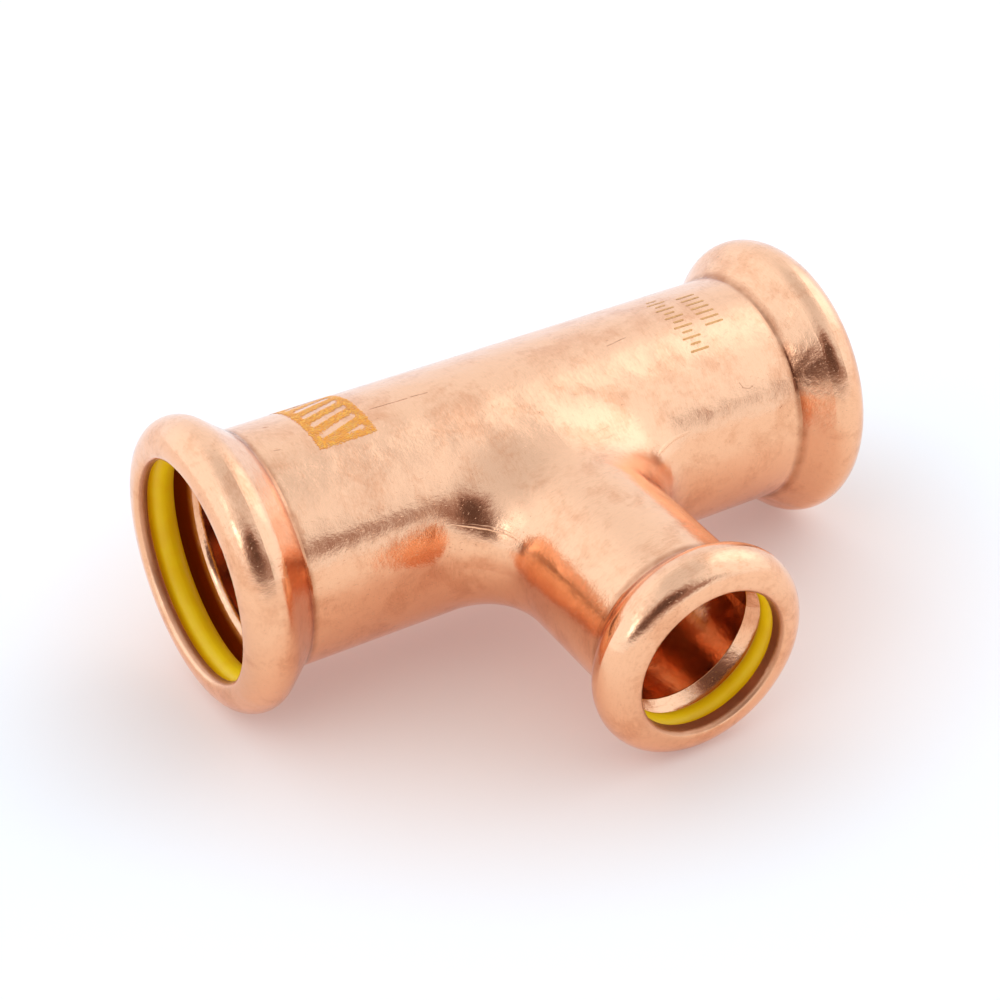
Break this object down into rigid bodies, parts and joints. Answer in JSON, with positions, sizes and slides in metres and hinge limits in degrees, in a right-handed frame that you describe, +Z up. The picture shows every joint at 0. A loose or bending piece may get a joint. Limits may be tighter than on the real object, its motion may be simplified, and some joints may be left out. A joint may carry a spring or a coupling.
{
  "type": "press-fit reducing tee",
  "caption": "Copper press-fit reducing tee: straight run with a smaller branch at right angles, rolled bead sockets holding yellow seal rings.",
  "frame": {"origin": "where the centre line of the run and the centre line of the branch cross", "axes": "+X along the run, -Y along the branch towards its mouth, +Z up, square to both centre lines"},
  "size_m": [0.0722, 0.052, 0.0302],
  "materials": {
    "copper": "satin copper, bright and lightly scuffed",
    "seal_rubber": "yellow moulded rubber with a soft shine"
  },
  "bodies": {
    "root": {"tee_body": "copper", "run_seal_left": "seal_rubber", "run_seal_right": "seal_rubber", "branch_seal": "seal_rubber"}
  },
  "joints": []
}
